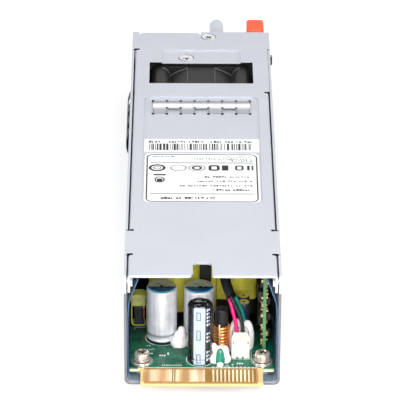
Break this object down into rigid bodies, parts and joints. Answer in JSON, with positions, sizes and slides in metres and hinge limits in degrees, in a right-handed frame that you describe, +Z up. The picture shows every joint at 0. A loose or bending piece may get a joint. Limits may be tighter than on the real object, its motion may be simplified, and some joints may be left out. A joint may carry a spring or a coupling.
{
  "type": "hot swap power supply module",
  "caption": "Long sheet metal power supply module with card edge tongue, side latch, bent rod handle, mains inlet and a small fan; circuit board shows at the open front.",
  "frame": {"origin": "centre of the casing's bottom face", "axes": "+X to the right as seen from the card edge end, +Y from the card edge to the handle, +Z up"},
  "size_m": [0.0524, 0.2204, 0.0408],
  "materials": {
    "zinc_sheet": "pale bluish zinc, satin",
    "zinc_screw": "zinc plated",
    "label_white": "satin film",
    "strip_steel": "bright stamped spring steel",
    "clear_film": "thin insulating film",
    "black_plastic": "moulded, fine grain",
    "plated_blade": "nickel plated brass",
    "handle_grey": "grey satin paint",
    "led_lens": "diffuse green lens",
    "latch_steel": "bare stainless",
    "tab_orange": "orange moulding, satin",
    "fan_black": "glass filled moulding",
    "magnet_dark": "bonded magnet",
    "shaft_steel": "ground steel",
    "bearing_bronze": "sintered bronze",
    "laminated_steel": "stamped laminations",
    "circuit_green": "solder mask",
    "grey_rubber": "foam rubber",
    "sleeve_black": "soft tubing",
    "wire_magenta": "wire insulation",
    "wire_black": "wire insulation",
    "wire_teal": "wire insulation",
    "connector_white": "natural nylon",
    "board_green": "solder mask over glass fibre",
    "contact_gold": "gold plated",
    "can_aluminium": "bare can",
    "cap_sleeve": "black shrink sleeve",
    "ferrite": "sintered ferrite",
    "copper": "enamelled copper",
    "white_compound": "silicone",
    "bead_teal": "lacquer",
    "control_green": "solder mask",
    "component_brown": "ceramic and moulded parts",
    "tape_yellow": "polyester tape",
    "bobbin_black": "moulded",
    "film_yellow": "polyester film",
    "epoxy_block": "moulded case",
    "glass_tube": "clear"
  },
  "bodies": {
    "casing": {"base_tray": "zinc_sheet", "top_cover": "zinc_sheet", "rear_panel": "zinc_sheet", "casing_screws": "zinc_screw", "press_fittings": "zinc_screw", "rating_label": "label_white", "serial_label": "label_white", "contact_strips": "strip_steel", "insulation_film": "clear_film", "ac_inlet": "black_plastic", "inlet_pins": "plated_blade", "pull_handle": "handle_grey", "handle_screws": "zinc_screw", "status_light": "led_lens", "latch_bracket": "latch_steel", "latch_pin": "shaft_steel", "latch_spring": "strip_steel", "fan_frame": "fan_black", "fan_bearings": "bearing_bronze", "fan_stator": "laminated_steel", "fan_circuit": "circuit_green", "fan_bracket": "zinc_sheet", "fan_pad": "grey_rubber", "fan_screws": "zinc_screw", "fan_cable_sleeve": "sleeve_black", "fan_wire_red": "wire_magenta", "fan_wire_black": "wire_black", "fan_wire_green": "wire_teal", "fan_header": "connector_white", "fan_plug": "connector_white", "main_board": "board_green", "edge_contacts": "contact_gold", "board_screws": "zinc_screw", "output_capacitors": "can_aluminium", "filter_capacitor": "cap_sleeve", "rod_choke_core": "ferrite", "rod_choke_winding": "copper", "fixing_compound": "white_compound", "bead_thermistor": "bead_teal", "control_board": "control_green", "control_parts": "component_brown", "transformer_winding": "tape_yellow", "transformer_core": "ferrite", "transformer_bobbin": "bobbin_black", "insulation_sleeve": "film_yellow", "sense_coil": "bobbin_black", "bulk_capacitor": "cap_sleeve", "boost_choke_core": "ferrite", "boost_choke_winding": "tape_yellow", "heat_sink": "can_aluminium", "power_semiconductors": "black_plastic", "common_mode_core": "ferrite", "common_mode_windings": "copper", "x_capacitor": "epoxy_block", "line_fuse": "glass_tube"},
    "rotor": {"fan_rotor": "fan_black", "fan_magnet": "magnet_dark", "fan_shaft": "shaft_steel"},
    "latch": {"latch_lever": "latch_steel", "latch_tab": "tab_orange"}
  },
  "joints": [
    {"name": "fan_spin", "type": "hinge", "parent": "casing", "child": "rotor", "pos_m": [0, 0.0585, 0.0205], "axis": [0, 1, 0], "continuous": true},
    {"name": "latch_pivot", "type": "hinge", "parent": "casing", "child": "latch", "pos_m": [0.0206, 0.073, 0.029], "axis": [0, 0, 1], "range_deg": [0, 7], "stiffness_Nm_per_rad": 0.4, "springref_deg": -5.73, "deforming": ["latch_spring"]}
  ]
}
